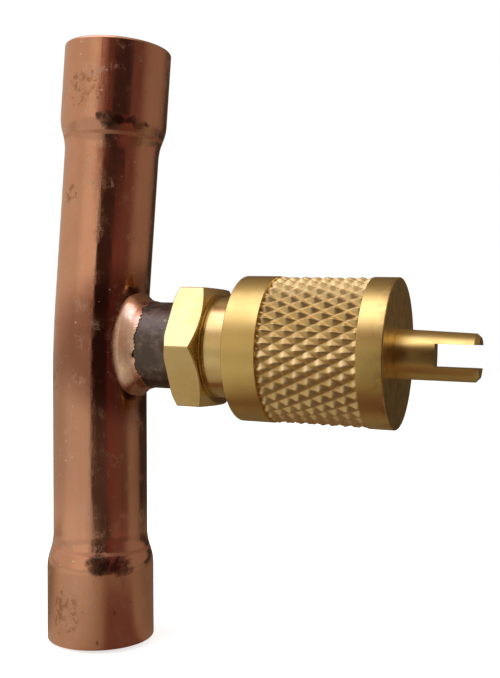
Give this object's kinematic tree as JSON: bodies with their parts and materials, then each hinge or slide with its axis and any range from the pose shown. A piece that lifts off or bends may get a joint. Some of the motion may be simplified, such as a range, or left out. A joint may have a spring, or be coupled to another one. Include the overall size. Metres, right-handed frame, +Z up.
{
  "type": "refrigerant service valve",
  "caption": "Copper access tee with swaged tube ends, a brazed brass service valve with core, and a knurled brass cap with a forked core key.",
  "frame": {"origin": "where the copper tube's axis lines meet the valve's axis, inside the tube at the branch", "axes": "+X along the valve out of the service port, +Z up the tube's run, the tube's two halves leaning 2.2 degrees towards +X"},
  "size_m": [0.0431, 0.014, 0.0604],
  "materials": {
    "copper": "drawn copper, polished, lightly scratched",
    "brazing_alloy": "copper-phosphorus brazing alloy, smooth",
    "body_brass": "machined, the spigot dark with oxide from brazing",
    "cap_brass": "machined, satin lands, rolled knurl",
    "core_brass": "machined",
    "seal_rubber": "matt",
    "ptfe": "smooth",
    "spring_steel": "drawn wire"
  },
  "bodies": {
    "fitting": {"copper_tube": "copper", "braze_fillet": "brazing_alloy", "valve_body": "body_brass"},
    "seal": {"cap_seal": "seal_rubber"},
    "cap": {"service_cap": "cap_brass"},
    "core": {"core_barrel": "core_brass", "core_gasket": "ptfe", "core_spring": "spring_steel"},
    "plug": {"core_head": "core_brass"},
    "pin": {"core_pin": "core_brass", "core_cup": "core_brass", "core_seat": "seal_rubber"}
  },
  "joints": [
    {"name": "cap_travel", "type": "slide", "parent": "fitting", "child": "seal", "axis": [1, 0, 0], "range_m": [0, 0.0127]},
    {"name": "cap_turn", "type": "hinge", "parent": "seal", "child": "cap", "pos_m": [0.0165, 0, 0], "axis": [1, 0, 0], "range_deg": [0, 3610]},
    {"name": "core_lift", "type": "slide", "parent": "fitting", "child": "core", "axis": [1, 0, 0], "range_m": [0, 0.00317]},
    {"name": "core_turn", "type": "hinge", "parent": "core", "child": "plug", "pos_m": [0.0203, 0, 0], "axis": [1, 0, 0], "range_deg": [0, 1625]},
    {"name": "pin_push", "type": "slide", "parent": "core", "child": "pin", "axis": [-1, 0, 0], "range_m": [0, 0.0015], "stiffness_N_per_m": 800, "springref_m": -0.0015, "deforming": ["core_spring"]}
  ],
  "couplings": [
    {"joint": "cap_turn", "follows": "cap_travel", "rad_per_m": 4947.4},
    {"joint": "core_turn", "follows": "core_lift", "rad_per_m": 8904.7}
  ]
}
